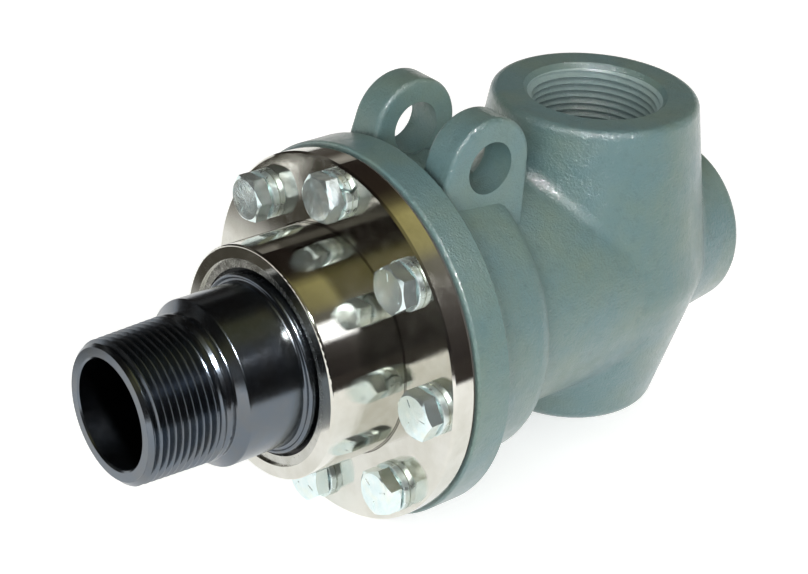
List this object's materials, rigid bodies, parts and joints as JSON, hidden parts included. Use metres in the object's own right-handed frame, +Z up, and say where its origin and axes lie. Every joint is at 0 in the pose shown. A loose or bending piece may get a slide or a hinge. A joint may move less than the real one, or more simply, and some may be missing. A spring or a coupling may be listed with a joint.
{
  "type": "hydraulic rotary union",
  "caption": "Rotary union: cast cross-shaped housing with top and rear ports, bolted bearing cap, stop lugs and a turning hollow rotor with a tapered pipe thread.",
  "frame": {"origin": "on the rotor's axis, at the root of its outside pipe thread", "axes": "+X along the rotor's axis from the nose towards the rear port, +Z up through the top port, +Y across"},
  "size_m": [0.2227, 0.1144, 0.1265],
  "materials": {
    "enamel": "semi-gloss grey-green enamel over sand-cast iron",
    "plated_steel": "turned, polished and nickel plated",
    "gasket": "compressed fibre sheet",
    "zinc": "bright zinc plating",
    "spring_steel": "tempered, phosphated",
    "bright_ring": "stainless, as stamped",
    "seal_rubber": "moulded nitrile rubber",
    "black_oxide": "turned, black oxide, lightly oiled",
    "bearing_steel": "ground and polished",
    "cage_steel": "pressed sheet",
    "machined_steel": "turned",
    "hard_face": "lapped hard face",
    "cord_rubber": "moulded rubber cord",
    "carbon": "lapped carbon graphite"
  },
  "bodies": {
    "housing_assembly": {"housing": "enamel", "bearing_cap": "plated_steel", "cap_gasket": "gasket", "cap_bolts": "zinc", "lock_washers": "zinc", "dust_seal": "seal_rubber", "hub_retaining_ring": "bright_ring", "front_bearing_cup": "bearing_steel", "rear_bearing_cup": "bearing_steel", "carrier_o_ring": "cord_rubber", "anti_rotation_pins": "machined_steel", "wave_spring": "spring_steel"},
    "rotor_assembly": {"rotor": "black_oxide", "front_bearing_cone": "bearing_steel", "rear_bearing_cone": "bearing_steel", "bearing_spacer": "machined_steel", "rotor_retaining_ring": "spring_steel", "seal_seat": "hard_face", "seat_o_ring": "cord_rubber"},
    "front_roller_set": {"front_bearing_rollers": "bearing_steel", "front_bearing_cage": "cage_steel"},
    "rear_roller_set": {"rear_bearing_rollers": "bearing_steel", "rear_bearing_cage": "cage_steel"},
    "seal_assembly": {"carbon_seal_ring": "carbon", "seal_carrier": "machined_steel"}
  },
  "joints": [
    {"name": "rotor_spin", "type": "hinge", "parent": "housing_assembly", "child": "rotor_assembly", "pos_m": [0, 0, 0], "axis": [1, 0, 0], "continuous": true},
    {"name": "front_roller_spin", "type": "hinge", "parent": "housing_assembly", "child": "front_roller_set", "pos_m": [0, 0, 0], "axis": [1, 0, 0], "continuous": true},
    {"name": "rear_roller_spin", "type": "hinge", "parent": "housing_assembly", "child": "rear_roller_set", "pos_m": [0, 0, 0], "axis": [1, 0, 0], "continuous": true},
    {"name": "seal_slide", "type": "slide", "parent": "housing_assembly", "child": "seal_assembly", "axis": [1, 0, 0], "range_m": [0, 0.0015], "stiffness_N_per_m": 20000, "springref_m": -0.0025, "deforming": ["wave_spring"]}
  ],
  "couplings": [
    {"joint": "front_roller_spin", "follows": "rotor_spin", "ratio": 0.4518},
    {"joint": "rear_roller_spin", "follows": "rotor_spin", "ratio": 0.4518}
  ]
}
